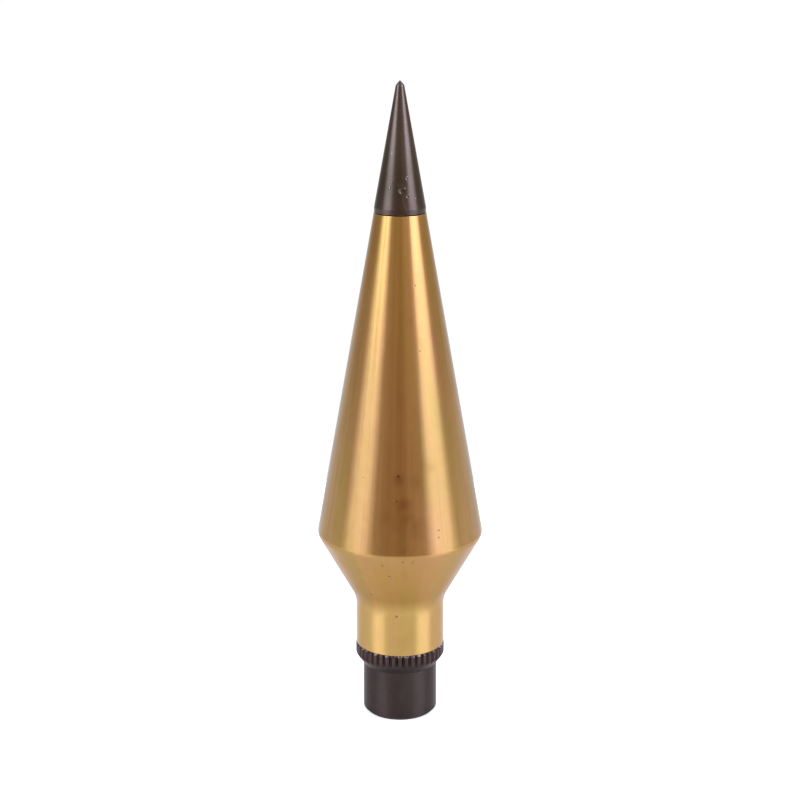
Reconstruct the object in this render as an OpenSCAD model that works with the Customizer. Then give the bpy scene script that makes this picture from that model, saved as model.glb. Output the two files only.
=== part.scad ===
// Plumb bob with a screw-in steel point and a knurled screw cap.
// It stands on the cap with its point up. Millimetres, +Z up, origin at the bottom centre of the cap.
// Four separate pieces: the solid brass body, the steel point, the cap, and the washer that the line's knot sits in.

/* [Overall] */
// Height from the base of the cap to the tip of the point
total_h = 150; // [140:1:170]
// Diameter at which the lines of the cone and the flare meet, before the shoulder is rounded
shoulder_d = 38.94; // [36:0.02:42]
// Height of the shoulder's edge above the base of the cap
shoulder_z = 45.05; // [43:0.05:48]

/* [Body] */
// Diameter of the cylindrical neck
neck_d = 20.8; // [20:0.02:22]
// Height at which the neck's line meets the line of the flare
flare_z = 29; // [28:0.05:31]
// Radius that blends the neck into the flare
flare_blend_r = 8; // [3:0.5:9]
// Radius on the edge of the shoulder
shoulder_r = 2.2; // [0.8:0.2:3]
// Diameter of the body where the steel point starts
nose_d = 11.88; // [11.4:0.02:12.4]

/* [Point] */
// Length of the point that shows
point_len = 29.35; // [26:0.05:32]
// Diameter of the short land at the foot of the point
land_d = 11.7; // [11.2:0.02:12]
// Height of the land
land_h = 1.3; // [1:0.1:2.5]
// Diameter at which the cone ends and the blunted tip starts
tip_d = 1.9; // [1.6:0.1:3]
// Height of the blunted tip
tip_h = 1; // [0.8:0.1:1.8]
// Chamfer at the foot of the land
point_edge = 0.25; // [0.1:0.05:0.4]
// Pitch of the point's thread
point_pitch = 1.27; // [1.27]
// Outside radius of the point's thread
point_thread_r = 3.15; // [3.15]
// Turns of thread on the point's shank
point_turns = 6; // [5:1:6]

/* [Cap] */
// Diameter of the plain barrel
barrel_d = 17.5; // [17:0.1:18]
// Height at which the bevel under the knurled collar starts
bevel_z = 12.2; // [11:0.1:13]
// Height of that bevel
bevel_h = 2.5; // [2:0.1:2.8]
// Height of the seat, where the cap meets the neck
seat_z = 17.3; // [16.8:0.1:18]
// Diameter over the knurl's teeth
collar_d = 21.1; // [20.8:0.1:22]
// Number of teeth in the straight knurl
knurl_teeth = 42; // [36:1:54]
// Depth of the knurl
knurl_depth = 0.5; // [0.3:0.02:0.56]
// Chamfer at the base of the cap
base_edge = 0.75; // [0.4:0.05:1]

/* [Line] */
// Diameter of the hole that the line runs through
line_hole_d = 2.4; // [1.8:0.1:3]
// Thickness of the cap's floor, which the line hole goes through
cap_floor = 4; // [3.5:0.1:5]
// Diameter of the knot chamber
chamber_d = 8.2; // [7.6:0.1:8.6]
// Thickness of the knot washer
washer_h = 1.2; // [0.8:0.1:1.6]
// Diameter of the hole in the knot washer
washer_hole_d = 1.9; // [1.4:0.1:2]

/* [Cap thread] */
// Pitch of the cap's thread
cap_pitch = 1.5; // [1.5]
// Outside radius of the cap's thread
cap_thread_r = 6.95; // [6.95]
// Turns of thread on the cap's spigot
cap_turns = 4; // [3:1:4]
// Length of the spigot above the seat
spigot_len = 9; // [8.8:0.1:10]

/* [Hidden] */
brass = [0.74, 0.55, 0.29];
steel = [0.25, 0.22, 0.20];
blackened = [0.23, 0.20, 0.18];
washer_brass = [0.66, 0.50, 0.27];
$fn = 96;

point_z = total_h - point_len;         // seat of the point on the body
cap_seg = 36;                          // steps round the cap's thread
point_seg = 28;                        // steps round the point's thread
cap_core_r = cap_thread_r - 0.85;      // under the thread of the cap's spigot
point_core_r = point_thread_r - 0.70;  // under the thread of the point's shank
cap_z0 = seat_z + 1.9;                 // where the cap's thread starts to rise
point_z0 = point_z - 9.6;              // where the point's thread starts to rise
gap = 0.15;                            // radial clearance between male and female threads

// Points along an arc from angle a0 to a1, in n steps.
function arc(cx, cy, r, a0, a1, n) = [for (i = [0:n]) let (a = a0 + (a1 - a0) * i / n) [cx + r * cos(a), cy + r * sin(a)]];

// Centre of the circle of radius r that touches both lines of the corner p, from a towards p and on towards b.
// side is 1 for a circle on the left of the path and -1 for one on its right.
function corner_centre(a, p, b, r, side) =
    let (u = (p - a) / norm(p - a), v = (b - p) / norm(b - p),
         n1 = side * [-u[1], u[0]], n2 = side * [-v[1], v[0]], m = n1 + n2)
    p + m / norm(m) * r / (norm(m) / 2);

// The corner p rounded with radius r, as points.
function rounded(a, p, b, r, side, n) =
    let (c = corner_centre(a, p, b, r, side), u = (p - a) / norm(p - a), v = (b - p) / norm(b - p),
         n1 = side * [-u[1], u[0]], n2 = side * [-v[1], v[0]],
         a0 = atan2(-n1[1], -n1[0]), a1r = atan2(-n2[1], -n2[0]),
         a1 = a1r - a0 > 180 ? a1r - 360 : a1r - a0 < -180 ? a1r + 360 : a1r)
    arc(c[0], c[1], r, a0, a1, n);

// A right-hand threaded rod as one closed solid, from z = 0 to z = len. It is a prism at the core radius with a
// helical ridge that rises from nothing at z0 and ends turns later, wide at its root and narrow at its crest.
module thread_rod(core, crest, pitch, z0, turns, len, seg, w_root, w_crest) {
    h = crest - core;
    function rise(s) = max(0, min(1, s * 5, (turns - s) * 5));
    function at(r, i, z) = [r * cos(360 * i / seg), r * sin(360 * i / seg), z];
    function ridge(i, k) = let (s = k + i / seg, z = z0 + pitch * s, r = core + h * rise(s))
        [at(core, i, z - w_root / 2), at(r, i, z - w_crest / 2), at(r, i, z + w_crest / 2), at(core, i, z + w_root / 2)];
    // Column 0 has one ridge more than the others, because the helix starts and ends on it.
    column0 = concat([at(core, 0, 0)], [for (k = [0:turns], q = ridge(0, k)) q], [at(core, 0, len)]);
    others = [for (i = [1:seg - 1]) concat([at(core, i, 0)], [for (k = [0:turns - 1], q = ridge(i, k)) q], [at(core, i, len)])];
    points = concat(column0, [for (c = others, q = c) q]);
    n0 = 4 * (turns + 1) + 2;
    n = 4 * turns + 2;
    function id(i, j) = i == 0 ? j : n0 + (i - 1) * n + j;
    function foot(i) = id(i, 0);
    function head(i) = id(i, i == 0 ? n0 - 1 : n - 1);
    function rp(i, k, q) = id(i, 1 + 4 * k + q);
    function quad(a, b, c, d) = [[a, b, c], [a, c, d]];
    // Strip between column i and the next one; the ridges of the next one are counted from kb.
    function strip(i, j, kb) = concat(
        [for (k = [0:turns - 1], q = [0:2], t = quad(rp(i, k, q), rp(i, k, q + 1), rp(j, k + kb, q + 1), rp(j, k + kb, q))) t],
        [for (k = [0:1:turns - 2], t = quad(rp(i, k, 3), rp(i, k + 1, 0), rp(j, k + 1 + kb, 0), rp(j, k + kb, 3))) t]);
    function bottom(i, j) = quad(foot(i), rp(i, 0, 0), rp(j, 0, 0), foot(j));
    function top(i, j) = quad(rp(i, turns - 1, 3), head(i), head(j), rp(j, turns - 1, 3));
    pivot = rp(1, turns - 1, 3);
    last = seg - 1;
    low = rp(last, 0, 0);
    faces = concat(
        [for (i = [0:last - 1], t = strip(i, i + 1, 0)) t],
        strip(last, 0, 1),
        [for (i = [0:last - 1], t = bottom(i, i + 1)) t],
        [[low, rp(0, 1, 0), rp(0, 0, 3)], [low, rp(0, 0, 3), rp(0, 0, 2)], [low, rp(0, 0, 2), rp(0, 0, 1)],
         [low, rp(0, 0, 1), rp(0, 0, 0)], [low, rp(0, 0, 0), foot(0)], [low, foot(0), foot(last)]],
        [for (i = [1:last - 1], t = top(i, i + 1)) t],
        quad(rp(last, turns - 1, 3), head(last), head(0), rp(0, turns, 3)),
        [[pivot, rp(0, turns - 1, 3), rp(0, turns, 0)], [pivot, rp(0, turns, 0), rp(0, turns, 1)],
         [pivot, rp(0, turns, 1), rp(0, turns, 2)], [pivot, rp(0, turns, 2), rp(0, turns, 3)],
         [pivot, rp(0, turns, 3), head(0)], [pivot, head(0), head(1)]],
        [[for (i = [0:last]) foot(i)], [for (i = [last:-1:0]) head(i)]]);
    polyhedron(points = points, faces = faces, convexity = 10);
}

// The cap's spigot thread, and with grow the thread cut in the neck for it.
module cap_thread() {
    translate([0, 0, seat_z + 1.1])
        thread_rod(cap_core_r, cap_thread_r, cap_pitch, cap_z0 - seat_z - 1.1, cap_turns, spigot_len - 1.1, cap_seg, 1.2, 0.22);
}
module cap_thread_cutter() {
    z_low = cap_z0 - 4 * cap_pitch;
    translate([0, 0, z_low - 2])
        thread_rod(cap_core_r + gap, cap_thread_r + gap, cap_pitch, 2, cap_turns + 5, seat_z + spigot_len + 2.5 - z_low + 2, cap_seg, 1.3, 0.32);
}

// The point's shank thread, and the thread cut in the nose for it.
module point_thread() {
    translate([0, 0, point_z - 10.9])
        thread_rod(point_core_r, point_thread_r, point_pitch, 1.3, point_turns, 9.6, point_seg, 1.0, 0.19);
}
module point_thread_cutter() {
    z_low = point_z0 - point_pitch;
    translate([0, 0, z_low - 2])
        thread_rod(point_core_r + gap, point_thread_r + gap, point_pitch, 2, point_turns + 4, point_z - z_low + 5, point_seg, 1.08, 0.27);
}

// Solid turned brass, with a blind threaded bore in the neck and another in the nose.
module bob_body() {
    neck_r = neck_d / 2;
    a = [neck_r, seat_z];
    p = [neck_r, flare_z];
    s = [shoulder_d / 2, shoulder_z];
    e = [nose_d / 2, point_z];
    color(brass) difference() {
        rotate_extrude() polygon(concat(
            [[0, seat_z], a],
            rounded(a, p, s, flare_blend_r, -1, 6),
            rounded(p, s, e, shoulder_r, 1, 8),
            [e, [0, point_z]]));
        cap_thread_cutter();
        translate([0, 0, seat_z + spigot_len + 1]) cylinder(h = 1.5, r = cap_core_r - 0.2);
        translate([0, 0, seat_z + spigot_len + 2.5]) cylinder(h = 3.2, r1 = cap_core_r - 0.2, r2 = 0);
        point_thread_cutter();
        translate([0, 0, point_z0 - point_pitch - 3.4]) cylinder(h = 1.41, r1 = 0, r2 = point_core_r - 0.1);
    }
}

// Blackened steel: a cone with a short land at its foot, a blunted tip and a threaded shank.
module steel_point() {
    lr = land_d / 2;
    color(steel) union() {
        rotate_extrude() polygon([[0, point_z], [lr - point_edge, point_z], [lr, point_z + point_edge], [lr, point_z + land_h],
            for (q = [[1, 1], [0.94, 0.86], [0.53, 0.42], [0.16, 0.07], [0.06, 0.015], [0, 0]]) [tip_d / 2 * q[0], total_h - tip_h * q[1]]]);
        translate([0, 0, point_z - 1.8]) cylinder(h = 2.2, r = point_core_r - 0.15);
        point_thread();
    }
}

// Outline of the straight knurl: flat-topped teeth.
module knurl_outline() {
    r1 = collar_d / 2;
    r0 = r1 - knurl_depth;
    step = 360 / knurl_teeth;
    polygon([for (i = [0:knurl_teeth - 1], q = [[-0.42, r0], [-0.17, r1], [0.17, r1], [0.42, r0]])
        let (t = (i + q[0]) * step) [q[1] * sin(t), q[1] * cos(t)]]);
}

// Blackened cap: plain barrel, knurled collar and threaded spigot, drilled for the line and bored for its knot.
module screw_cap() {
    br = barrel_d / 2;
    cr = collar_d / 2;
    color(blackened) difference() {
        union() {
            rotate_extrude() polygon([[0, 0], [br - base_edge, 0], [br, base_edge], [br, bevel_z + 0.4], [0, bevel_z + 0.4]]);
            intersection() {
                translate([0, 0, bevel_z - 0.5]) linear_extrude(height = seat_z - bevel_z + 0.5) knurl_outline();
                rotate_extrude() polygon([[0, bevel_z], [br, bevel_z], [cr - 0.25, bevel_z + bevel_h - 0.4], [cr + 0.01, bevel_z + bevel_h],
                    [cr + 0.01, seat_z - 0.35], [cr - 0.35, seat_z], [0, seat_z]]);
            }
            translate([0, 0, seat_z - 0.5]) cylinder(h = 1.9, r = cap_core_r - 0.15);
            cap_thread();
        }
        translate([0, 0, -1]) cylinder(h = cap_floor + 2, r = line_hole_d / 2);
        translate([0, 0, cap_floor]) cylinder(h = seat_z + spigot_len - cap_floor + 1, r = chamber_d / 2);
    }
}

// Small drilled disc on the chamber's floor. The line's knot pulls against it, and the cap turns round it.
module knot_washer() {
    color(washer_brass) rotate_extrude() polygon([
        [washer_hole_d / 2, cap_floor], [chamber_d / 2 - 0.3, cap_floor], [chamber_d / 2 - 0.3, cap_floor + washer_h - 0.2],
        [chamber_d / 2 - 0.5, cap_floor + washer_h], [washer_hole_d / 2 + 0.2, cap_floor + washer_h], [washer_hole_d / 2, cap_floor + washer_h - 0.2]]);
}

bob_body();
steel_point();
screw_cap();
knot_washer();
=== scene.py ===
import math

import bpy
import numpy as np
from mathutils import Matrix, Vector


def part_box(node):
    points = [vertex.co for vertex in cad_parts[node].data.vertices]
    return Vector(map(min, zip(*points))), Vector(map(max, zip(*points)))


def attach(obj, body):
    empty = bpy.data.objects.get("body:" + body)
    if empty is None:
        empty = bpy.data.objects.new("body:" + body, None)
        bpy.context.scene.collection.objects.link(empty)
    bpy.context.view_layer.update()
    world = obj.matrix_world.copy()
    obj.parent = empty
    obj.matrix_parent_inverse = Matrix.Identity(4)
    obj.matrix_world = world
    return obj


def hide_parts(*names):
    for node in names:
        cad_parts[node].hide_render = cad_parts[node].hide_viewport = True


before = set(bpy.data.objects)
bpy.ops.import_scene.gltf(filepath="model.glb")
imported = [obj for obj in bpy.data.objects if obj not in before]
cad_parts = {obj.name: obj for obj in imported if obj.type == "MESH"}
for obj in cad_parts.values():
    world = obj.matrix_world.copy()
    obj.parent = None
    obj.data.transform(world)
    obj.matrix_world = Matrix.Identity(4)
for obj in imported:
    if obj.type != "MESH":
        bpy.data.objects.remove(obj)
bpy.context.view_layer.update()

# ---------------------------------------------------------------- geometry
# Lengths below are in millimetres and become metres when a mesh is made. Places come from the CAD nodes' boxes.
MM = 0.001


def span(node):
    lo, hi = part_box(node)
    return lo.z / MM, hi.z / MM, hi.x / MM


BODY_Z0, BODY_Z1, BODY_R = span("bob_body")
_, POINT_Z1, LAND_R = span("steel_point")
CAP_Z0, CAP_Z1, COLLAR_R = span("screw_cap")
WASH_Z0, WASH_Z1, WASH_R = span("knot_washer")
SEAT = BODY_Z0            # where the cap meets the neck
POINT_Z = BODY_Z1         # where the point meets the nose


class Path:
    """A profile in (r, z). Corners are rounded and get support points beside them, so that shading stays true."""

    def __init__(self):
        self.raw = []

    def to(self, r, z, radius=0.0, n=4, step=None):
        self.raw.append((r, z, radius, n, step))
        return self

    def points(self, support=0.05):
        out = []
        raw = self.raw
        for i, (r, z, rad, n, _) in enumerate(raw):
            p = np.array([r, z])
            if rad > 0 and 0 < i < len(raw) - 1:
                a = np.array(raw[i - 1][:2]) - p
                b = np.array(raw[i + 1][:2]) - p
                la, lb = np.linalg.norm(a), np.linalg.norm(b)
                a, b = a / la, b / lb
                half = math.acos(max(-1, min(1, float(a @ b)))) / 2
                t = min(rad / math.tan(half), 0.45 * la, 0.45 * lb)
                rr = t * math.tan(half)
                centre = p + (a + b) / np.linalg.norm(a + b) * rr / math.sin(half)
                s, e = p + a * t - centre, p + b * t - centre
                a0 = math.atan2(s[1], s[0])
                d = math.atan2(e[1], e[0]) - a0
                d = (d + math.pi) % (2 * math.pi) - math.pi
                sup = min(support, 0.2 * la, 0.2 * lb)
                out.append(tuple(p + a * (t + sup)))
                for k in range(n + 1):
                    q = a0 + d * k / n
                    out.append(tuple(centre + rr * np.array([math.cos(q), math.sin(q)])))
                out.append(tuple(p + b * (t + sup)))
            else:
                out.append((r, z))
        # subdivide the long stretches that ask for it
        final = [out[0]]
        for q in out[1:]:
            p = final[-1]
            length = math.hypot(q[0] - p[0], q[1] - p[1])
            k = max(1, int(round(length / self.max_step(p, q))))
            for j in range(1, k + 1):
                final.append((p[0] + (q[0] - p[0]) * j / k, p[1] + (q[1] - p[1]) * j / k))
        return np.array(final)

    def max_step(self, p, q):
        best = 2.5
        for lo, hi, rlo, rhi, s in getattr(self, "fine", []):
            if lo - 1e-6 <= min(p[1], q[1]) and max(p[1], q[1]) <= hi + 1e-6 and rlo <= (p[0] + q[0]) / 2 <= rhi:
                best = min(best, s)
        return best


def turned(name, path, angles, shape=None, loop=False):
    """A turned solid. path is the profile from pole to pole, or a closed loop. shape(r, z, theta) may change the radii."""
    n, m = len(angles), len(path)
    r = np.repeat(path[:, 0][:, None], n, 1)
    z = np.repeat(path[:, 1][:, None], n, 1)
    t = np.repeat(np.asarray(angles)[None, :], m, 0)
    if shape is not None:
        r = shape(r, z, t)
    x, y = r * np.cos(t), r * np.sin(t)
    grid = np.stack([x, y, z], -1)
    verts, faces = [], []
    if loop:
        verts = grid.reshape(-1, 3)
        for i in range(m):
            j = (i + 1) % m
            for k in range(n):
                l = (k + 1) % n
                faces.append((i * n + k, i * n + l, j * n + l, j * n + k))
    else:
        inner = grid[1:-1].reshape(-1, 3)
        verts = np.concatenate([inner, [[0, 0, path[0, 1]], [0, 0, path[-1, 1]]]])
        rows = m - 2
        for i in range(rows - 1):
            for k in range(n):
                l = (k + 1) % n
                faces.append((i * n + k, i * n + l, (i + 1) * n + l, (i + 1) * n + k))
        first, last = rows * n, rows * n + 1
        for k in range(n):
            l = (k + 1) % n
            faces.append((first, l, k))
            faces.append((last, (rows - 1) * n + k, (rows - 1) * n + l))
    mesh = bpy.data.meshes.new(name)
    mesh.from_pydata((np.asarray(verts) * MM).tolist(), [], faces)
    mesh.update()
    bm_out(mesh)
    mesh.polygons.foreach_set("use_smooth", [True] * len(mesh.polygons))
    obj = bpy.data.objects.new(name, mesh)
    bpy.context.scene.collection.objects.link(obj)
    return obj


def bm_out(mesh):
    import bmesh
    bm = bmesh.new()
    bm.from_mesh(mesh)
    bmesh.ops.recalc_face_normals(bm, faces=bm.faces)
    bm.to_mesh(mesh)
    bm.free()
    mesh.update()


def even(n):
    return np.linspace(0, 2 * math.pi, n, endpoint=False)


def thread_height(z, t, centre, pitch, w_root, w_crest):
    """0 at the thread's root and 1 on its crest, for a right-hand helix with a ridge at height centre where t is 0."""
    d = (z - centre - pitch * t / (2 * math.pi)) / pitch
    d = np.abs(d - np.round(d)) * pitch
    return np.clip((w_root / 2 - d) / ((w_root - w_crest) / 2), 0, 1)


def fade(z, lo, hi, width=0.6):
    return np.clip((z - lo) / width, 0, 1) * np.clip((hi - z) / width, 0, 1)


# The threads, as they are cut in the CAD model.
CAP_PITCH, CAP_CORE, CAP_CREST, CAP_RIDGE = 1.5, 6.10, 6.95, SEAT + 1.9
PT_PITCH, PT_CORE, PT_CREST, PT_RIDGE = 1.27, 2.45, 3.15, POINT_Z - 9.6
GAP = 0.15


def make_body():
    p = Path()
    neck, nose = 10.40, 5.94
    bore = CAP_CORE + GAP
    pbore = PT_CORE + GAP
    p.fine = [(SEAT, SEAT + 11.5, 0, bore + 0.8, 0.1), (POINT_Z - 12.6, POINT_Z, 0, pbore + 0.7, 0.1)]
    p.to(0, SEAT + 14.6)
    p.to(bore - 0.3, SEAT + 11.6, 0.1, 2)
    p.to(bore, SEAT + 11.5)
    p.to(bore, SEAT + 0.55, 0.05, 2)
    p.to(bore + 1.05, SEAT, 0.08, 3)
    p.to(neck, SEAT, 0.2, 5)
    p.to(neck, 29.0, 8.0, 14)
    p.to(19.456, 45.05, 2.2, 16)
    p.to(nose, POINT_Z, 0.12, 4)
    p.to(pbore + 0.75, POINT_Z, 0.06, 3)
    p.to(pbore, POINT_Z - 0.6, 0.05, 2)
    p.to(pbore, POINT_Z - 12.6, 0.05, 2)
    p.to(0, POINT_Z - 14.2)
    pts = p.points()

    def shape(r, z, t):
        r = r.copy()
        inner = (z < SEAT + 11.4) & (z > SEAT + 0.0) & (r > bore - 0.2) & (r < bore + 1.0)
        h = thread_height(z, t, CAP_RIDGE, CAP_PITCH, 1.3, 0.32) * fade(z, SEAT - 2, SEAT + 10.6)
        cut = bore + 0.85 * h
        r = np.where(inner, np.maximum(r, cut), r)
        inner2 = (z < POINT_Z) & (z > POINT_Z - 12.5) & (r > pbore - 0.05) & (r < pbore + 0.74)
        h2 = thread_height(z, t, PT_RIDGE, PT_PITCH, 1.08, 0.27) * fade(z, POINT_Z - 11.6, POINT_Z + 2)
        r = np.where(inner2, np.maximum(r, pbore + 0.70 * h2), r)
        return r

    obj = turned("brass_body", pts, even(288), shape)
    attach(obj, "bob")
    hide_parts("bob_body")
    return obj


def make_point():
    p = Path()
    top = POINT_Z1
    foot_r, foot_z = LAND_R, POINT_Z + 1.3
    tip_r, tip_z = 0.95, top - 1.0

    def cone(z):
        return foot_r + (tip_r - foot_r) * (z - foot_z) / (tip_z - foot_z)

    lo, hi = POINT_Z + 3.2, POINT_Z + 9.6
    p.fine = [(POINT_Z - 11, POINT_Z, 0, 3.0, 0.1), (lo, hi, 3.5, 6, 0.06), (POINT_Z + 1, top, 0, 6, 0.4)]
    p.to(0, POINT_Z - 10.9)
    p.to(PT_CORE - 0.35, POINT_Z - 10.9, 0.05, 2)
    p.to(PT_CORE, POINT_Z - 10.5)
    p.to(PT_CORE, POINT_Z - 1.35, 0.03, 2)
    p.to(PT_CORE - 0.15, POINT_Z - 1.2, 0.03, 2)
    p.to(PT_CORE - 0.15, POINT_Z, 0.03, 2)
    p.to(LAND_R - 0.24, POINT_Z, 0.03, 3)
    p.to(LAND_R, POINT_Z + 0.25, 0.08, 4)
    p.to(foot_r, foot_z, 0.6, 5)
    p.to(cone(lo), lo)
    p.to(cone(hi), hi)
    p.to(tip_r, tip_z, 0.16, 5)
    p.to(0.10, top - 0.04, 0.06, 3)
    p.to(0, top)
    pts = p.points()
    front = -math.pi / 2
    near = front + np.radians(np.arange(-36, 36.01, 0.6))
    far = front + np.radians(np.arange(38, 322.01, 2.0))
    angles = np.concatenate([near, far])

    # Dents and dings: angle from the front in degrees, height above the seat, radius, depth, height of the raised rim,
    # and the part of the rim that is raised, as the cosine's lower limit towards the upper left
    dings = [(6.0, 5.50, 0.72, 0.10, 0.075, -0.35), (0.0, 6.75, 0.34, 0.05, 0.03, -1.1), (18.3, 4.35, 0.34, 0.07, 0.02, -1.1),
             (18.0, 8.25, 0.30, 0.06, 0.06, -1.1), (-28.7, 6.25, 0.22, 0.0, 0.06, -1.1), (-23.2, 7.15, 0.2, 0.04, 0.03, -1.1)]

    def shape(r, z, t):
        r = r.copy()
        shank = (z < POINT_Z - 1.3) & (r > PT_CORE - 0.2)
        h = thread_height(z, t, PT_RIDGE, PT_PITCH, 1.0, 0.19) * fade(z, PT_RIDGE - 0.5, PT_RIDGE + 6 * PT_PITCH + 0.5, 0.5)
        r = np.where(shank, np.maximum(r, PT_CORE + 0.70 * h), r)
        face = z > POINT_Z + 1.5
        base = r.copy()
        for deg, up, rad, deep, rim, limit in dings:
            dt = (t - front - math.radians(deg) + math.pi) % (2 * math.pi) - math.pi
            u, v = dt * base, z - POINT_Z - up
            d = np.hypot(u, v)
            lit = np.clip(((-0.7 * u + 0.7 * v) / (d + 1e-6) - limit) / 0.35, 0, 1)
            dent = -deep * np.clip(1 - (d / rad) ** 2, 0, 1)
            ridge = rim * lit * np.exp(-((d - rad) / (0.16 * rad + 0.05)) ** 2)
            r = np.where(face, r + dent + ridge, r)
        return r

    obj = turned("point", pts, angles, shape)
    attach(obj, "bob")
    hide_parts("steel_point")
    return obj


TEETH = 42


def make_cap():
    barrel = 8.75
    bevel = 12.2
    floor_z, chamber, hole = 4.0, 4.1, 1.2
    top = CAP_Z1
    p = Path()
    p.fine = [(SEAT + 1.2, top - 0.2, CAP_CORE - 0.4, CAP_CREST + 1, 0.1), (bevel - 0.1, SEAT + 0.01, barrel - 0.4, COLLAR_R + 1, 0.12)]
    loop = [
        (hole, 2.0, 0, 0), (hole, 0.45, 0.1, 3), (hole + 0.45, 0.0, 0.15, 4),
        (barrel - 0.75, 0.0, 0.15, 4), (barrel, 0.75, 0.3, 5),
        (barrel, bevel, 0.25, 4), (COLLAR_R - 0.25, bevel + 2.1, 0.5, 5), (COLLAR_R, bevel + 2.6, 0.4, 4),
        (COLLAR_R, SEAT - 0.35, 0.08, 3), (COLLAR_R - 0.35, SEAT, 0.06, 3),
        (CAP_CORE - 0.15, SEAT, 0.05, 2), (CAP_CORE - 0.15, SEAT + 1.1, 0.05, 2),
        (CAP_CORE, SEAT + 1.2, 0.03, 2), (CAP_CORE, top - 0.4, 0.06, 2), (CAP_CORE - 0.4, top, 0.06, 3),
        (chamber + 0.3, top, 0.06, 3), (chamber, top - 0.3, 0.06, 3),
        (chamber, floor_z, 0.15, 3), (hole + 0.4, floor_z, 0.12, 4), (hole, floor_z - 0.4, 0.1, 3), (hole, 2.0, 0, 0)]
    for r, z, rad, n in loop:
        p.to(r, z, rad, n)
    pts = p.points()[:-1]
    step = 2 * math.pi / TEETH
    offs = np.array([-0.5, -0.43, -0.37, -0.24, -0.18, -0.06, 0.06, 0.18, 0.24, 0.37, 0.43])
    angles = np.concatenate([(k + offs) * step for k in range(TEETH)]) + math.pi / 2
    depth = 0.5

    def shape(r, z, t):
        u = ((t - math.pi / 2) / step + 0.5) % 1 - 0.5
        tooth = np.clip((0.42 - np.abs(u)) / 0.21, 0, 1)
        tooth = tooth ** 0.85
        limit = COLLAR_R - depth * (1 - tooth)
        collar = (z > bevel - 0.05) & (z < SEAT + 0.001) & (r > barrel - 0.3)
        r = np.where(collar, np.minimum(r, limit), r)
        spig = (z > SEAT + 1.2) & (z < top - 0.05) & (r > CAP_CORE - 0.4)
        h = thread_height(z, t, CAP_RIDGE, CAP_PITCH, 1.2, 0.22) * fade(z, CAP_RIDGE - 0.6, CAP_RIDGE + 6.6, 0.7)
        r = np.where(spig, np.maximum(r, CAP_CORE + 0.85 * h), r)
        return r

    obj = turned("cap", pts, angles, shape, loop=True)
    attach(obj, "cap")
    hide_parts("screw_cap")
    return obj


def make_washer():
    p = Path()
    hole = 0.95
    z0, z1, r = WASH_Z0, WASH_Z1, WASH_R
    for q in ((hole, (z0 + z1) / 2, 0, 0), (hole, z0, 0.1, 4), (r, z0, 0.1, 4), (r, z1 - 0.15, 0.06, 3), (r - 0.2, z1, 0.06, 3),
              (hole + 0.2, z1, 0.08, 3), (hole, z1 - 0.2, 0.08, 3), (hole, (z0 + z1) / 2, 0, 0)):
        p.to(*q)
    obj = turned("washer", p.points()[:-1], even(96), loop=True)
    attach(obj, "line_seat")
    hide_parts("knot_washer")
    return obj


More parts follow.
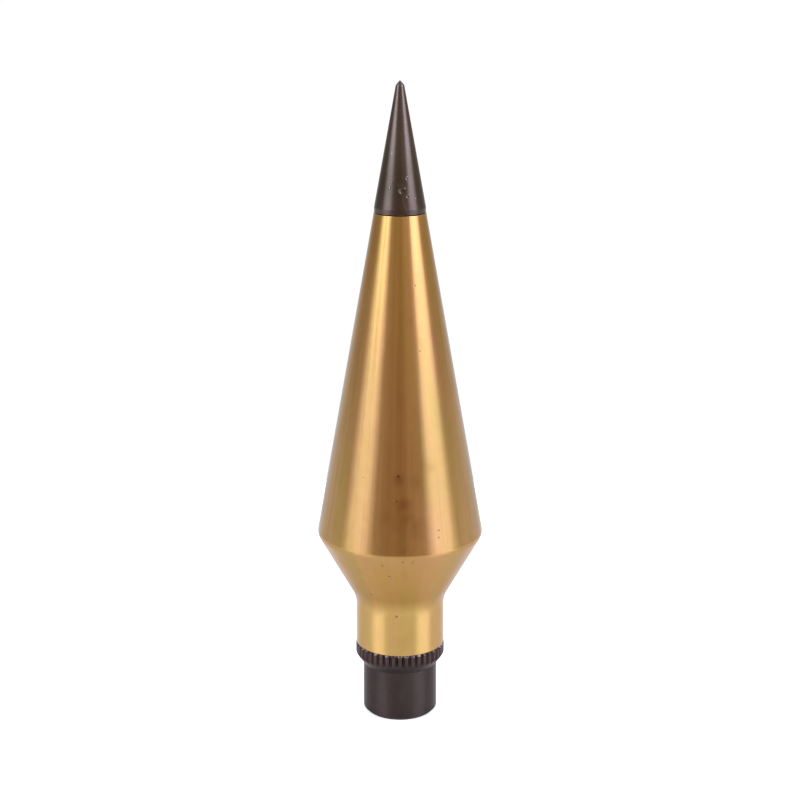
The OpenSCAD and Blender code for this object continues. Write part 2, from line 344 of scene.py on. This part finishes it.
# ---------------------------------------------------------------- materials
class Tree:
    """Short hand for building a node material."""

    def __init__(self, name):
        self.mat = bpy.data.materials.new(name)
        self.mat.use_nodes = True
        self.nt = self.mat.node_tree
        self.nt.nodes.clear()
        self.out = self.nt.nodes.new("ShaderNodeOutputMaterial")
        self.bsdf = self.nt.nodes.new("ShaderNodeBsdfPrincipled")
        self.nt.links.new(self.bsdf.outputs[0], self.out.inputs[0])
        self.coord = self.nt.nodes.new("ShaderNodeTexCoord").outputs["Object"]

    def link(self, a, b):
        self.nt.links.new(a, b)

    def put(self, socket, value):
        if hasattr(value, "is_output"):
            self.link(value, socket)
        elif isinstance(value, (tuple, list)) and len(value) == 3 and socket.type == "RGBA":
            socket.default_value = (*value, 1)
        else:
            socket.default_value = value

    def math(self, op, a, b=0.0, c=None, clamp=False):
        n = self.nt.nodes.new("ShaderNodeMath")
        n.operation = op
        n.use_clamp = clamp
        self.put(n.inputs[0], a)
        self.put(n.inputs[1], b)
        if c is not None:
            self.put(n.inputs[2], c)
        return n.outputs[0]

    def vec(self, op, a, b=(0, 0, 0)):
        n = self.nt.nodes.new("ShaderNodeVectorMath")
        n.operation = op
        self.put(n.inputs[0], a)
        self.put(n.inputs[1], b)
        return n.outputs["Value"] if op in ("LENGTH", "DISTANCE", "DOT_PRODUCT") else n.outputs[0]

    def scaled(self, v):
        n = self.nt.nodes.new("ShaderNodeMapping")
        n.inputs["Scale"].default_value = v
        self.link(self.coord, n.inputs[0])
        return n.outputs[0]

    def noise(self, scale, detail=3.0, rough=0.5, vector=None, distortion=0.0):
        n = self.nt.nodes.new("ShaderNodeTexNoise")
        self.link(vector if vector is not None else self.coord, n.inputs["Vector"])
        n.inputs["Scale"].default_value = scale
        n.inputs["Detail"].default_value = detail
        n.inputs["Roughness"].default_value = rough
        n.inputs["Distortion"].default_value = distortion
        return n.outputs[0]

    def voronoi(self, scale, feature="F1", vector=None, randomness=1.0):
        n = self.nt.nodes.new("ShaderNodeTexVoronoi")
        n.feature = feature
        self.link(vector if vector is not None else self.coord, n.inputs["Vector"])
        n.inputs["Scale"].default_value = scale
        n.inputs["Randomness"].default_value = randomness
        return n

    def ramp(self, value, stops):
        """Linear map with the given (position, value) stops, through a colour ramp."""
        n = self.nt.nodes.new("ShaderNodeValToRGB")
        e = n.color_ramp.elements
        while len(e) > 1:
            e.remove(e[-1])
        for i, (pos, val) in enumerate(stops):
            el = e[0] if i == 0 else e.new(pos)
            el.position = pos
            el.color = (val, val, val, 1) if not isinstance(val, tuple) else (*val, 1)
        self.put(n.inputs[0], value)
        return n.outputs[0]

    def range(self, value, a, b, c=0.0, d=1.0):
        n = self.nt.nodes.new("ShaderNodeMapRange")
        n.clamp = True
        self.put(n.inputs[0], value)
        for i, v in enumerate((a, b, c, d)):
            self.put(n.inputs[i + 1], v)
        return n.outputs[0]

    def mix(self, fac, a, b, kind="MIX"):
        n = self.nt.nodes.new("ShaderNodeMix")
        n.data_type = "RGBA"
        n.blend_type = kind
        self.put(n.inputs[0], fac)
        self.put(n.inputs[6], a)
        self.put(n.inputs[7], b)
        return n.outputs[2]

    def bump(self, height, distance, strength=1.0, normal=None):
        n = self.nt.nodes.new("ShaderNodeBump")
        n.inputs["Strength"].default_value = strength
        n.inputs["Distance"].default_value = distance
        self.put(n.inputs["Height"], height)
        if normal is not None:
            self.link(normal, n.inputs["Normal"])
        return n.outputs[0]

    def cylindrical(self):
        """(radius, angle, height) of the object's own coordinates, in metres and radians."""
        s = self.nt.nodes.new("ShaderNodeSeparateXYZ")
        self.link(self.coord, s.inputs[0])
        x, y, z = s.outputs
        r = self.math("SQRT", self.math("ADD", self.math("MULTIPLY", x, x), self.math("MULTIPLY", y, y)))
        a = self.math("ARCTAN2", y, x)
        return r, a, z

    def combine(self, x, y, z):
        n = self.nt.nodes.new("ShaderNodeCombineXYZ")
        for i, v in enumerate((x, y, z)):
            self.put(n.inputs[i], v)
        return n.outputs[0]

    def tangent(self, amount):
        """Turning marks run round the axis, so highlights spread along it."""
        n = self.nt.nodes.new("ShaderNodeTangent")
        n.direction_type = "RADIAL"
        n.axis = "Z"
        self.link(n.outputs[0], self.bsdf.inputs["Tangent"])
        self.bsdf.inputs["Anisotropic"].default_value = amount
        self.bsdf.inputs["Anisotropic Rotation"].default_value = 0.25

    def pits(self, scale, keep, size, vector=None):
        """Small round pits: one in a share keep of a Voronoi grid's cells, of radius size (in metres)."""
        v = self.voronoi(scale, vector=vector)
        chosen = self.math("LESS_THAN", self.vec("DOT_PRODUCT", v.outputs["Color"], (1.0, 0.0, 0.0)), keep)
        dist = self.math("DIVIDE", v.outputs["Distance"], scale)
        spot = self.range(dist, size * 0.45, size, 1.0, 0.0)
        return self.math("MULTIPLY", spot, chosen)


def place(deg, z, r):
    """A point on the surface: angle from the front in degrees, height and radius in millimetres."""
    a = math.radians(deg)
    return (r * math.sin(a) * MM, -r * math.cos(a) * MM, z * MM)


def body_radius(z):
    """Radius of the brass body at height z."""
    if z < 31:
        return 10.4
    if z < 45.05:
        return 10.4 + (z - 29.0) * (19.456 - 10.4) / (45.05 - 29.0)
    return 19.456 + (z - 45.05) * (5.94 - 19.456) / (POINT_Z - 45.05)


def spots(t, marks, inner=0.5):
    """Round marks (place, radius in mm, strength), joined into one mask."""
    total = None
    for where, rad, strength in marks:
        m = t.range(t.vec("DISTANCE", t.coord, where), rad * MM, rad * inner * MM, 0.0, strength)
        total = m if total is None else t.math("MAXIMUM", total, m)
    return total


def brass(name="brass_turned", wear_and_shade=True):
    t = Tree(name)
    b = t.bsdf
    b.inputs["Metallic"].default_value = 1.0
    s = t.nt.nodes.new("ShaderNodeSeparateXYZ")
    t.link(t.coord, s.inputs[0])
    x, y, z = s.outputs
    r = t.math("MAXIMUM", t.math("SQRT", t.math("ADD", t.math("MULTIPLY", x, x), t.math("MULTIPLY", y, y))), 0.0001)
    cx, cy = t.math("DIVIDE", x, r), t.math("DIVIDE", y, r)

    def round_axis(k, kz):
        """Coordinates that follow the turned surface: k across the angle, kz per metre of height."""
        return t.combine(t.math("MULTIPLY", cx, k), t.math("MULTIPLY", cy, k), t.math("MULTIPLY", z, kz))

    wobble = t.noise(1.0, 2, 0.5, round_axis(1.6, 24))
    streak_wide = t.noise(1.0, 2, 0.5, round_axis(6, 9))
    streak = t.noise(1.0, 2, 0.5, round_axis(17, 8))
    streak_fine = t.noise(1.0, 2, 0.6, round_axis(46, 16))
    cloud = t.noise(1.0, 3, 0.5, round_axis(2.6, 30), 0.3)
    patch = t.noise(1.0, 5, 0.6, t.scaled((150, 150, 75)), 0.6)
    mottle = t.noise(520, 3, 0.6)
    # the streaks come and go along the cone, and are faint on the flare and the neck
    drawn = t.math("MULTIPLY", t.range(t.noise(1.0, 3, 0.55, round_axis(4.5, 60), 0.3), 0.36, 0.60, 0.15, 1.0), t.range(z, 0.0445, 0.0465, 0.22, 1.0))

    base = t.mix(t.range(streak_wide, 0.36, 0.64), (0.555, 0.338, 0.122), (0.575, 0.325, 0.140))
    base = t.mix(t.range(cloud, 0.46, 0.66, 0.0, 0.75), base, (0.505, 0.342, 0.104))
    base = t.mix(t.range(wobble, 0.50, 0.68, 0.0, 0.45), base, (0.585, 0.305, 0.150))
    base = t.mix(t.math("MULTIPLY", t.range(streak, 0.46, 0.70, 0.0, 0.40), drawn), base, (0.36, 0.19, 0.062))
    base = t.mix(t.math("MULTIPLY", t.range(streak_fine, 0.46, 0.72, 0.0, 0.22), drawn), base, (0.34, 0.175, 0.06))
    base = t.mix(t.range(patch, 0.55, 0.75, 0.0, 0.34), base, (0.43, 0.21, 0.062))
    base = t.mix(t.range(mottle, 0.35, 0.70, 0.0, 0.14), base, (0.66, 0.40, 0.16))
    pit = t.math("MAXIMUM", t.pits(190, 0.022, 0.00020), t.pits(420, 0.018, 0.00011))
    soft = None
    if wear_and_shade:
        marks = [(-1.2, 63.5, 0.42, 1.0), (-2.6, 57.9, 0.27, 0.9), (-30.5, 62.6, 0.24, 0.6), (28.4, 50.7, 0.24, 0.8), (27.9, 49.1, 0.22, 0.8),
                 (-43.2, 51.8, 0.2, 0.6), (-12.7, 42.8, 0.22, 0.8), (-8.5, 39.6, 0.22, 0.9), (-31.4, 33.1, 0.22, 0.9), (-4.5, 27.4, 0.38, 0.55),
                 (1.7, 44.0, 0.3, 0.6), (8.6, 43.9, 0.5, 0.25), (-15.6, 71.8, 0.42, 0.4), (22.1, 105.5, 0.3, 0.5), (23.0, 91.0, 0.26, 0.5),
                 (118.0, 58.0, 0.36, 0.9), (151.0, 70.5, 0.3, 0.8), (-132.0, 49.5, 0.3, 0.8), (-101.0, 84.0, 0.26, 0.8), (172.0, 38.0, 0.26, 0.9)]
        pit = t.math("MAXIMUM", pit, spots(t, [(place(d, h, body_radius(h)), q, w) for d, h, q, w in marks]))
        blots = [(-1.0, 62.8, 1.9, 0.65), (3.0, 57.0, 2.6, 0.60), (5.5, 54.0, 2.4, 0.50), (9.0, 51.5, 4.0, 0.40), (-8.0, 53.5, 3.0, 0.34), (13.0, 62.0, 3.0, 0.30),
                 (24.0, 65.5, 2.6, 0.30), (3.0, 47.5, 3.6, 0.30), (140.0, 60.0, 5.0, 0.4), (-150.0, 75.0, 5.0, 0.35), (95.0, 50.0, 4.0, 0.35)]
        soft = spots(t, [(place(d, h, body_radius(h)), q, w) for d, h, q, w in blots], 0.0)
        soft = t.math("MULTIPLY", soft, t.range(t.noise(1.0, 3, 0.6, t.scaled((420, 420, 260))), 0.28, 0.52))
        base = t.mix(soft, base, (0.30, 0.125, 0.038))
    if wear_and_shade:
        # the cone is brighter towards the point, the neck lighter and yellower, and the flare darker just above the
        # neck, which is painted shade
        tone = t.ramp(t.range(z, 0.017, 0.121), [(0.0, (0.98, 1.05, 0.88)), (0.105, (0.98, 1.05, 0.88)), (0.14, (0.77, 0.74, 0.47)), (0.19, (0.82, 0.80, 0.55)),
                                                 (0.26, (0.86, 0.84, 0.68)), (0.29, (0.87, 0.86, 0.84)), (0.65, (0.87, 0.87, 0.84)), (0.80, (0.90, 0.905, 0.82)), (1.0, (0.91, 0.92, 0.80))])
        base = t.mix(1.0, base, t.vec("MULTIPLY", tone, (1.175, 1.175, 1.175)), "MULTIPLY")
    base = t.mix(t.math("MULTIPLY", pit, 0.92), base, (0.060, 0.028, 0.010))
    t.link(base, b.inputs["Base Color"])
    rough = t.math("ADD", t.range(patch, 0.35, 0.75, 0.205, 0.255), t.range(streak, 0.3, 0.7, -0.012, 0.018))
    rough = t.math("ADD", rough, t.math("MULTIPLY", pit, 0.3))
    t.link(rough, b.inputs["Roughness"])
    t.tangent(0.45)
    # polished by hand, so the surface isn't dead flat; fine turning marks; pits
    n = t.bump(t.noise(1.0, 1, 0.4, round_axis(3.0, 50)), 0.00005, 0.35)
    n = t.bump(t.math("MULTIPLY", streak, t.range(z, 0.0435, 0.0475, 0.15, 1.0)), 0.00004, 0.35, n)
    n = t.bump(t.noise(1.0, 2, 0.6, t.combine(0.0, 0.0, t.math("MULTIPLY", z, 5200))), 0.0000012, 0.5, n)
    n = t.bump(t.noise(2400, 2, 0.6), 0.0000025, 0.4, n)
    n = t.bump(t.math("SUBTRACT", 1.0, pit), 0.00004, 0.6, n)
    t.link(n, b.inputs["Normal"])
    return t.mat


def point_steel():
    t = Tree("point_blackened")
    b = t.bsdf
    b.inputs["Metallic"].default_value = 1.0
    r, a, z = t.cylindrical()
    cloud = t.noise(1.0, 4, 0.55, t.scaled((420, 420, 120)))
    base = t.mix(t.range(cloud, 0.35, 0.68), (0.122, 0.091, 0.075), (0.098, 0.071, 0.058))
    base = t.mix(t.range(t.noise(1.0, 2, 0.5, t.scaled((300, 300, 150))), 0.46, 0.66, 0.0, 0.6), base, (0.126, 0.082, 0.076))
    olive = t.math("MULTIPLY", t.range(t.noise(1.0, 3, 0.5, t.scaled((260, 260, 120)), 0.5), 0.46, 0.60), 0.75)
    base = t.mix(olive, base, (0.092, 0.084, 0.058))
    # thin scratches where the black has worn through, and small bright nicks
    sv = t.nt.nodes.new("ShaderNodeMapping")
    sv.inputs["Rotation"].default_value = (0.25, 0.2, 0.5)
    sv.inputs["Scale"].default_value = (900, 900, 110)
    t.link(t.coord, sv.inputs[0])
    line = t.noise(1.0, 2, 0.7, sv.outputs[0], 0.6)
    scratch = t.range(line, 0.66, 0.74)
    pit = t.math("MAXIMUM", t.pits(520, 0.06, 0.00022), t.math("MAXIMUM", t.pits(950, 0.09, 0.00011), t.pits(1500, 0.10, 0.00007)))
    nicks = [(-22.8, 146.4, 1.5, 0.16), (30.4, 141.0, 2.45, 0.15), (25.9, 138.8, 2.85, 0.13), (-31.4, 134.3, 3.65, 0.15), (-28.7, 126.9, 4.95, 0.17),
             (18.0, 128.9, 4.6, 0.16), (-24.0, 127.9, 4.8, 0.13), (40.0, 124.5, 5.4, 0.14), (150.0, 131.0, 4.2, 0.16), (-110.0, 138.0, 2.9, 0.15)]
    nick = spots(t, [(place(d, h, q), w, 1.0) for d, h, q, w in nicks])
    base = t.mix(t.math("MULTIPLY", scratch, 0.45), base, (0.22, 0.185, 0.165))
    base = t.mix(t.math("MULTIPLY", pit, 0.55), base, (0.28, 0.245, 0.225))
    base = t.mix(t.math("MULTIPLY", nick, 0.95), base, (0.46, 0.42, 0.38))
    base = t.mix(t.range(z, (POINT_Z + 9.0) * MM, (POINT_Z + 15.0) * MM, 0.0, 0.6), base, (0.150, 0.120, 0.100))
    # the ground tip is greyer, with a lighter ring at its edge, and the chamfer at the foot gets a painted highlight
    tip = t.range(z, (POINT_Z1 - 1.15) * MM, (POINT_Z1 - 0.9) * MM)
    base = t.mix(t.math("MULTIPLY", tip, 0.8), base, (0.118, 0.110, 0.106))
    rim = t.math("MULTIPLY", t.range(t.math("ABSOLUTE", t.math("SUBTRACT", z, (POINT_Z1 - 1.05) * MM)), 0.30 * MM, 0.08 * MM), 0.5)
    base = t.mix(rim, base, (0.20, 0.185, 0.175))
    # painted highlight: a lighter yellowish band on the chamfer at the foot
    foot = t.math("MULTIPLY", t.range(z, (POINT_Z + 0.36) * MM, (POINT_Z + 0.20) * MM), t.range(r, (LAND_R - 0.4) * MM, (LAND_R - 0.2) * MM))
    foot = t.math("MULTIPLY", foot, t.range(t.noise(1.0, 2, 0.5, t.scaled((500, 500, 80))), 0.40, 0.60, 0.35, 1.0))
    base = t.mix(t.math("MULTIPLY", foot, 0.7), base, (0.24, 0.19, 0.155))
    t.link(base, b.inputs["Base Color"])
    rough = t.math("ADD", t.range(cloud, 0.3, 0.7, 0.22, 0.29), t.math("MULTIPLY", t.noise(1500, 2, 0.6), 0.05))
    rough = t.math("ADD", rough, t.math("MULTIPLY", tip, 0.08))
    t.link(rough, b.inputs["Roughness"])
    t.tangent(0.5)
    n = t.bump(t.noise(1.0, 2, 0.5, t.scaled((300, 300, 110))), 0.00003, 0.45)
    n = t.bump(t.noise(1.0, 2, 0.6, t.combine(0.0, 0.0, t.math("MULTIPLY", z, 6500))), 0.0000015, 0.6, n)
    n = t.bump(t.math("ADD", scratch, t.math("MULTIPLY", pit, 2.0)), 0.000016, -0.8, n)
    n = t.bump(t.noise(3200, 2, 0.6), 0.000003, 0.5, n)
    t.link(n, b.inputs["Normal"])
    return t.mat


def cap_black():
    t = Tree("cap_blackened")
    b = t.bsdf
    b.inputs["Metallic"].default_value = 1.0
    r, a, z = t.cylindrical()
    cloud = t.noise(1.0, 4, 0.55, t.scaled((240, 240, 120)))
    base = t.mix(t.range(cloud, 0.35, 0.68), (0.072, 0.052, 0.045), (0.058, 0.042, 0.036))
    base = t.mix(t.range(t.noise(1.0, 2, 0.5, t.scaled((150, 150, 110))), 0.46, 0.66, 0.0, 0.6), base, (0.072, 0.060, 0.049))
    base = t.mix(t.range(t.noise(2200, 2, 0.7), 0.55, 0.8, 0.0, 0.30), base, (0.115, 0.098, 0.092))
    # the black is worn thin on the crests of the knurl's teeth, and the tops of the teeth get painted glints
    collar = t.range(z, (SEAT - 3.3) * MM, (SEAT - 3.0) * MM)
    crest = t.math("MULTIPLY", t.range(r, (COLLAR_R - 0.10) * MM, (COLLAR_R - 0.01) * MM), t.range(t.noise(900, 3, 0.6), 0.35, 0.65, 0.2, 1.0))
    base = t.mix(t.math("MULTIPLY", crest, 0.35), base, (0.15, 0.118, 0.112))
    # painted glints: bright dots on the top of each tooth
    tooth_end_glints = t.math("MULTIPLY", t.range(z, (SEAT - 0.44) * MM, (SEAT - 0.32) * MM), t.range(r, (COLLAR_R - 0.40) * MM, (COLLAR_R - 0.25) * MM))
    tooth_end_glints = t.math("MULTIPLY", tooth_end_glints, t.range(z, (SEAT + 0.02) * MM, (SEAT - 0.02) * MM))
    base = t.mix(t.math("MULTIPLY", tooth_end_glints, t.range(t.noise(520, 2, 0.6), 0.44, 0.60, 0.0, 0.8)), base, (0.52, 0.46, 0.42))
    base = t.mix(t.math("MULTIPLY", t.math("MULTIPLY", collar, t.range(r, (COLLAR_R - 0.75) * MM, (COLLAR_R - 0.55) * MM)), t.range(cloud, 0.3, 0.7, 0.2, 0.6)), base, (0.092, 0.052, 0.046))
    # near black deep in the grooves between the teeth
    groove_dark = t.math("MULTIPLY", t.range(r, (COLLAR_R - 0.30) * MM, (COLLAR_R - 0.48) * MM), collar)
    base = t.mix(t.math("MULTIPLY", groove_dark, 0.55), base, (0.03, 0.020, 0.016))
    # painted light: a slightly lighter brown band on the ring where the bevel meets the collar, evening out its shade;
    # the band is also rougher
    ring_painted_light = t.math("MULTIPLY", t.range(z, 0.01530, 0.01505), t.math("MULTIPLY", t.range(z, 0.0143, 0.0146), t.range(r, 0.00878, 0.00895)))
    base = t.mix(t.math("MULTIPLY", ring_painted_light, 0.6), base, (0.080, 0.055, 0.045))
    # the spigot inside is bare steel, oily and dark
    spigot = t.range(z, (SEAT + 0.02) * MM, (SEAT + 0.12) * MM)
    base = t.mix(t.math("MULTIPLY", spigot, 0.8), base, (0.20, 0.18, 0.165))
    t.link(base, b.inputs["Base Color"])
    rough = t.math("ADD", t.range(cloud, 0.3, 0.7, 0.29, 0.36), t.math("MULTIPLY", crest, -0.06))
    rough = t.math("ADD", rough, t.math("MULTIPLY", spigot, -0.14))
    rough = t.math("ADD", rough, t.math("MULTIPLY", ring_painted_light, 0.22))
    t.link(rough, b.inputs["Roughness"])
    t.tangent(0.3)
    n = t.bump(t.noise(1.0, 2, 0.6, t.combine(0.0, 0.0, t.math("MULTIPLY", z, 5000))), 0.000003, 0.6)
    n = t.bump(t.noise(2400, 3, 0.65), 0.000006, 0.6, n)
    t.link(n, b.inputs["Normal"])
    return t.mat


def paint(obj, mat):
    obj.data.materials.clear()
    obj.data.materials.append(mat)


body = make_body()
point = make_point()
cap = make_cap()
washer = make_washer()
paint(body, brass())
paint(point, point_steel())
paint(cap, cap_black())
paint(washer, brass("brass_washer", False))

# ---------------------------------------------------------------- stage, light and camera
scene = bpy.context.scene
scene.view_settings.view_transform = "Standard"
scene.view_settings.look = "None"
scene.view_settings.exposure = 0.0
scene.view_settings.gamma = 1.0


def disc(name, radius, rings, seg, z=0.0):
    verts = [(0, 0, z)]
    for i in range(1, rings + 1):
        for k in range(seg):
            a = 2 * math.pi * k / seg
            verts.append((radius * i / rings * math.cos(a), radius * i / rings * math.sin(a), z))
    faces = [(0, 1 + k, 1 + (k + 1) % seg) for k in range(seg)]
    for i in range(1, rings):
        for k in range(seg):
            l = (k + 1) % seg
            faces.append((1 + (i - 1) * seg + k, 1 + i * seg + k, 1 + i * seg + l, 1 + (i - 1) * seg + l))
    mesh = bpy.data.meshes.new(name)
    mesh.from_pydata(verts, [], faces)
    mesh.update()
    obj = bpy.data.objects.new(name, mesh)
    scene.collection.objects.link(obj)
    return obj


floor = disc("floor", 0.18, 8, 128)
fm = bpy.data.materials.new("floor_white")
fm.use_nodes = True
fn = fm.node_tree
fb = fn.nodes["Principled BSDF"]
fb.inputs["Base Color"].default_value = (0.82, 0.82, 0.82, 1)
fb.inputs["Roughness"].default_value = 0.16
fb.inputs["IOR"].default_value = 1.5
fb.inputs["Emission Color"].default_value = (1, 1, 1, 1)
f_path = fn.nodes.new("ShaderNodeLightPath")
f_lift = fn.nodes.new("ShaderNodeMath")
f_lift.operation = "MULTIPLY_ADD"
f_lift.inputs[1].default_value = 0.60
f_lift.inputs[2].default_value = 0.02
fn.links.new(f_path.outputs["Is Camera Ray"], f_lift.inputs[0])
fn.links.new(f_lift.outputs[0], fb.inputs["Emission Strength"])
floor.data.materials.append(fm)

# The light: a dim room, a little darker and warmer in front, with a tall soft panel on each side of the camera.
# The camera itself sees plain white.
world = bpy.data.worlds.new("studio")
scene.world = world
world.use_nodes = True
w = Tree.__new__(Tree)
w.nt = world.node_tree
w.nt.nodes.clear()
w.coord = w.nt.nodes.new("ShaderNodeTexCoord").outputs["Generated"]
w_xyz = w.nt.nodes.new("ShaderNodeSeparateXYZ")
w.link(w.coord, w_xyz.inputs[0])
turn = w.math("MULTIPLY", w.math("ARCTAN2", w_xyz.outputs[0], w.math("MULTIPLY", w_xyz.outputs[1], -1.0)), 180 / math.pi)
rise = w.math("MULTIPLY", w.math("ARCSINE", w_xyz.outputs[2]), 180 / math.pi)
high = w.ramp(w.range(turn, -180.0, 180.0), [
    (0.0, (0.42, 0.42, 0.43)), (0.09, (0.41, 0.39, 0.37)), (0.17, (0.34, 0.262, 0.215)), (0.26, (0.42, 0.345, 0.29)),
    (0.417, (0.42, 0.34, 0.245)), (0.45, (0.40, 0.305, 0.21)), (0.478, (0.44, 0.335, 0.245)), (0.494, (0.385, 0.28, 0.175)),
    (0.506, (0.360, 0.255, 0.155)), (0.522, (0.42, 0.31, 0.215)), (0.539, (0.53, 0.42, 0.325)), (0.578, (0.54, 0.44, 0.33)),
    (0.611, (0.43, 0.34, 0.25)), (0.74, (0.45, 0.37, 0.31)), (0.83, (0.45, 0.355, 0.285)), (0.87, (0.41, 0.335, 0.29)), (0.91, (0.43, 0.40, 0.38)), (1.0, (0.42, 0.42, 0.43))])
low = w.ramp(w.math("DIVIDE", w.math("ABSOLUTE", turn), 180.0), [
    (0.0, (0.36, 0.26, 0.17)), (0.09, (0.42, 0.32, 0.24)), (0.22, (0.50, 0.43, 0.36)), (0.42, (0.74, 0.70, 0.67)), (0.56, (0.84, 0.86, 0.92)),
    (0.67, (0.72, 0.75, 0.79)), (0.78, (0.68, 0.72, 0.79)), (1.0, (0.68, 0.72, 0.79))])
high = w.mix(1.0, high, w.ramp(w.range(rise, 0.0, 20.0), [(0.0, 0.96), (0.2, 1.0), (0.45, 1.08), (0.56, 1.12), (0.63, (1.12, 1.20, 1.52)), (1.0, (1.25, 1.34, 1.75))]), "MULTIPLY")
rear = w.math("MULTIPLY", w.range(rise, 11.5, 13.5), w.range(w.math("ABSOLUTE", turn), 95.0, 150.0))
high = w.mix(rear, high, (0.66, 0.66, 0.70))
room = w.mix(w.range(rise, -8.0, -1.0), low, high)


def panel(azimuth, half, fade_out, gain, colour, steep):
    """A tall light panel of the given half width, with soft sides; steep makes it weaker towards the floor."""
    lean = w.range(rise, 11.0, 14.0, 0.0, 3.0)
    off = w.math("ABSOLUTE", w.math("SUBTRACT", w.math("SUBTRACT", turn, azimuth), lean))
    across = w.ramp(w.range(off, half - 0.45 * fade_out, half + 0.55 * fade_out), [(0.0, 1.0), (0.25, 0.82), (0.45, 0.5), (0.72, 0.15), (1.0, 0.0)])
    up = w.ramp(w.range(rise, -10.0, 70.0), [
        (0.0, 0.22), (0.125, 0.22 + 0.02 * steep), (0.18, 0.28 - 0.02 * steep), (0.215, 0.38), (0.30, 0.74), (0.42, 1.05), (0.68, 0.9), (0.88, 0.0)])
    bright = w.math("MULTIPLY", w.math("MULTIPLY", across, up), gain)
    tint = w.ramp(w.range(rise, 0.0, 40.0), [(0.28, colour), (0.32, (0.88, 0.88, 1.0)), (0.45, (0.88, 0.88, 1.0)), (0.58, colour)])
    return w.vec("MULTIPLY", tint, w.combine(bright, bright, bright))


light = w.vec("ADD", room, panel(-62.1, 17.4, 17.0, 3.85, (1.0, 1.14, 1.50), 1.0))
light = w.vec("ADD", light, panel(61.7, 18.1, 17.0, 4.35, (1.0, 1.13, 1.57), 0.0))
w_room = w.nt.nodes.new("ShaderNodeBackground")
w.link(light, w_room.inputs[0])
w_room.inputs[1].default_value = 1.0
w_back = w.nt.nodes.new("ShaderNodeBackground")
w_back.inputs[0].default_value = (1, 1, 1, 1)
w_back.inputs[1].default_value = 1.02
w_path = w.nt.nodes.new("ShaderNodeLightPath")
w_mix = w.nt.nodes.new("ShaderNodeMixShader")
w.link(w_path.outputs["Is Camera Ray"], w_mix.inputs[0])
w.link(w_room.outputs[0], w_mix.inputs[1])
w.link(w_back.outputs[0], w_mix.inputs[2])
w_out = w.nt.nodes.new("ShaderNodeOutputWorld")
w.link(w_mix.outputs[0], w_out.inputs[0])


def softbox(name, azimuth, height, distance, width, tall, radiance, colour, aim=None):
    """A rectangular soft light. Azimuth 0 is the camera's side, positive to the right; radiance is what a mirror would show."""
    a = math.radians(azimuth)
    pos = Vector((distance * math.sin(a), -distance * math.cos(a), height))
    target = Vector((0, 0, height if aim is None else aim))
    light = bpy.data.lights.new(name, "AREA")
    light.shape = "RECTANGLE"
    light.size, light.size_y = width, tall
    light.energy = radiance * math.pi * width * tall
    light.color = colour
    obj = bpy.data.objects.new(name, light)
    scene.collection.objects.link(obj)
    obj.rotation_euler = (target - pos).to_track_quat("-Z", "Y").to_euler()
    obj.location = pos
    return obj


softbox("softbox_top", 180, 0.95, 0.50, 1.2, 0.8, 0.7, (1.0, 1.0, 1.0), 0.0)

cam_data = bpy.data.cameras.new("camera")
cam = bpy.data.objects.new("camera", cam_data)
scene.collection.objects.link(cam)
cam_data.sensor_width = 36
cam_data.lens = 78.75
cam_data.clip_start = 0.01
cam_data.clip_end = 50
cam_data.dof.use_dof = False
cam.location = (0, -0.39103, 0.18316)
cam.rotation_euler = (Vector((0, 0, 0.07692)) - Vector(cam.location)).to_track_quat("-Z", "Y").to_euler()
scene.camera = cam
